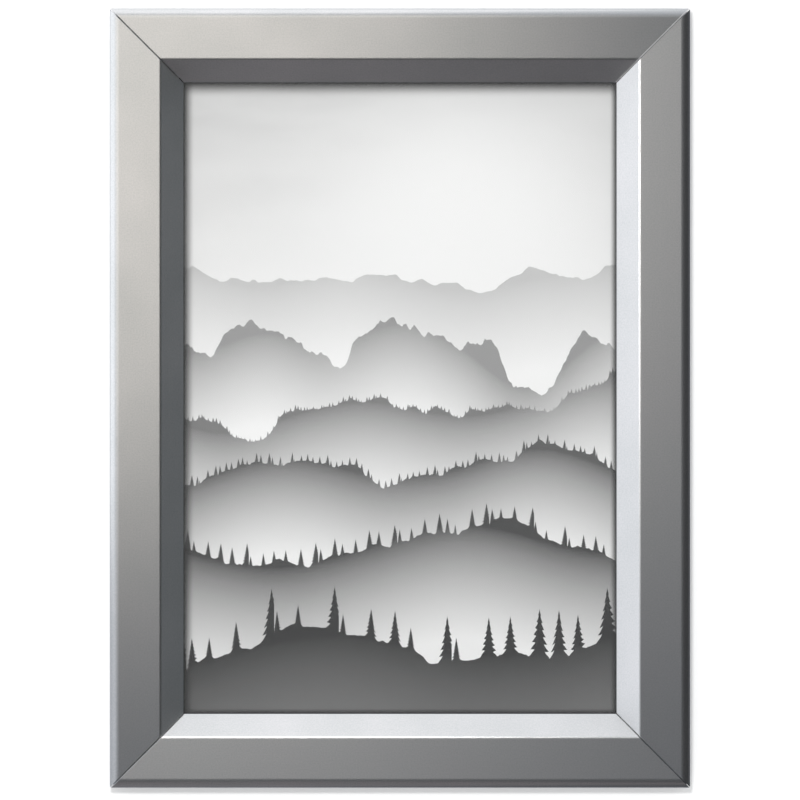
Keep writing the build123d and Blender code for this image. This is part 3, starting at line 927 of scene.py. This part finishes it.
# Light
# A key lamp above and to the left falls off across the frame. Pale panels and small lamps mirror in
# the rounds, bevels and inner edges, which don't mirror the print. Matt light falls on the wall and
# the print, and the room is paler above and to the left.
def area_lamp(name, place, size, power, colour, lit, in_gloss):
    """A rectangular lamp that faces the middle of the frame and lights some pieces, or all if none is named:
    with its mirror image in them, or else as matt light."""
    lamp = bpy.data.lights.new(name, "AREA")
    lamp.shape = "RECTANGLE"
    lamp.size, lamp.size_y = size
    lamp.energy = power
    lamp.color = colour
    holder = bpy.data.objects.new(name, lamp)
    holder.location = place
    holder.rotation_euler = (-Vector(place)).to_track_quat("-Z", "Y").to_euler()
    holder.visible_glossy = in_gloss
    holder.visible_diffuse = not in_gloss
    if lit:
        group = bpy.data.collections.new(f"lit by {name}")
        for piece in lit:
            group.objects.link(piece)
        holder.light_linking.receiver_collection = group
    bpy.context.scene.collection.objects.link(holder)


dressed = [piece for piece in bpy.data.objects if piece.type == "MESH" and piece not in (wall, floor)]
covers = {side: bpy.data.objects[f"cover_{side}_satin"] for side in sides}
others = [piece for piece in dressed if piece not in (covers["right"], covers["bottom"])]
# The rails don't mirror these sheets. The camera sees them all the same.
for sheet in (clear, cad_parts["print_sheet"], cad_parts["back_panel"]):
    sheet.visible_glossy = False
# Each lamp's place, width and height in metres, power in watts, colour, and the pieces that it lights.
gloss_lamps = {
    "key": ((-0.24, -0.56, 0.24), (0.62, 0.62), 1.01, (1.0, 0.95, 0.865), ()),
    "left panel": ((-0.46, 0.04, 0.12), (0.6, 0.4), 0.50, (0.96, 0.99, 1.0), others),
    "top panel": ((-0.10, 0.04, 0.52), (0.6, 0.4), 0.44, (1.0, 0.99, 0.97), others),
    "right bevel": ((-0.50, -0.06, 0.04), (0.4, 0.7), 0.56, (0.97, 0.98, 1.0), (covers["right"],)),
    "bottom bevel": ((0.02, -0.06, 0.52), (0.6, 0.4), 0.41, (1.0, 0.99, 0.97), (covers["bottom"],)),
    "right glint": ((-0.30, -0.46, 0.13), (0.12, 0.12), 0.56, (1.0, 1.0, 1.0), (covers["right"],)),
    "bottom glint": ((-0.09, -0.46, 0.25), (0.24, 0.12), 0.72, (1.0, 1.0, 1.0), (covers["bottom"],)),
    "left bevel": ((0.50, -0.06, -0.02), (0.4, 0.7), 0.09, (0.86, 0.95, 1.0), (covers["left"],)),
    "floor side": (
        (-0.08, -0.06, -0.52), (0.6, 0.4), 0.085, (1.0, 0.90, 0.93), (covers["top"], covers["bottom"]),
    ),
}
matt_lamps = {
    "wall wash": ((-0.115, -1.60, 0.28), (0.16, 0.16), 11.4, (1.0, 1.0, 1.0), (wall, floor)),
    "soft": ((-0.80, -1.35, 0.85), (0.7, 0.7), 8.0, (1.0, 0.99, 0.97), dressed),
}
for lamps, in_gloss in ((gloss_lamps, True), (matt_lamps, False)):
    for name, values in lamps.items():
        area_lamp(name, *values, in_gloss)

brightest_way = (-0.66, 0.3, 0.52)
room_colour = (0.80, 0.805, 0.81, 1)
backdrop_colour = (1, 1, 1, 1)
red_loss, blue_gain = 0.09, 0.15        # of a black part of the room; a white one stays neutral
# Shares of the way from the darkest to the brightest side of the room, and its level there.
room_levels = (
    (0.0, 0.01), (0.18, 0.015), (0.25, 0.04), (0.35, 0.087), (0.5, 0.16), (0.6, 0.42),
    (0.66, 0.6), (0.73, 0.55), (0.8, 0.45),
)
world = bpy.data.worlds.new("studio")
bpy.context.scene.world = world
world.use_nodes = True
world_tree = world.node_tree
world_tree.nodes.clear()
direction = add_node(world_tree, "ShaderNodeTexCoord")
towards = add_node(world_tree, "ShaderNodeVectorMath", operation="DOT_PRODUCT")
towards.inputs[1].default_value = brightest_way
world_tree.links.new(direction.outputs["Generated"], towards.inputs[0])
ramp = add_node(world_tree, "ShaderNodeValToRGB")
for index, (share, level) in enumerate(room_levels):
    stop = ramp.color_ramp.elements[0] if index == 0 else ramp.color_ramp.elements.new(share)
    stop.position = share
    darkness = 1 - level
    stop.color = (level * (1 - red_loss * darkness), level, level * (1 + blue_gain * darkness), 1)
ramp.color_ramp.elements.remove(ramp.color_ramp.elements[-1])       # the white end that a new ramp has
spread = add_node(world_tree, "ShaderNodeMapRange", in_1=-1.0, in_2=1.0)
world_tree.links.new(towards.outputs["Value"], spread.inputs["Value"])
world_tree.links.new(spread.outputs["Result"], ramp.inputs["Fac"])
paths = add_node(world_tree, "ShaderNodeLightPath")
ambient = add_node(world_tree, "ShaderNodeMix", data_type="RGBA")
ambient.inputs["A"].default_value = room_colour
world_tree.links.new(paths.outputs["Is Glossy Ray"], ambient.inputs["Factor"])
world_tree.links.new(ramp.outputs["Color"], ambient.inputs["B"])
backdrop = add_node(world_tree, "ShaderNodeMix", data_type="RGBA")
backdrop.inputs["B"].default_value = backdrop_colour
world_tree.links.new(paths.outputs["Is Camera Ray"], backdrop.inputs["Factor"])
world_tree.links.new(ambient.outputs["Result"], backdrop.inputs["A"])
background = add_node(world_tree, "ShaderNodeBackground")
world_tree.links.new(backdrop.outputs["Result"], background.inputs["Color"])
world_result = add_node(world_tree, "ShaderNodeOutputWorld")
world_tree.links.new(background.outputs[0], world_result.inputs["Surface"])

# Camera
# Straight on to the frame from far off, as the photograph shows it, with the frame's middle a
# little above the middle of the picture.
picture_width = 800
frame_width_in_picture = 579.8
frame_rise_in_picture = 1.9
camera_distance = 3.0
outline_depth = 7 * mm
metres_per_pixel = frame_width / frame_width_in_picture
picture_reach = picture_width * metres_per_pixel
camera_data = bpy.data.cameras.new("camera")
camera_data.lens = camera_data.sensor_width * (camera_distance - outline_depth) / picture_reach
camera = bpy.data.objects.new("camera", camera_data)
camera.location = (0, -camera_distance, -frame_rise_in_picture * metres_per_pixel)
camera.rotation_euler = (radians(90), 0, 0)
bpy.context.scene.collection.objects.link(camera)
bpy.context.scene.camera = camera
bpy.context.scene.view_settings.view_transform = "Standard"

# Sizes
# The box of the dressed model; the CAD model's box was found before any piece was dressed.
low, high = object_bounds()
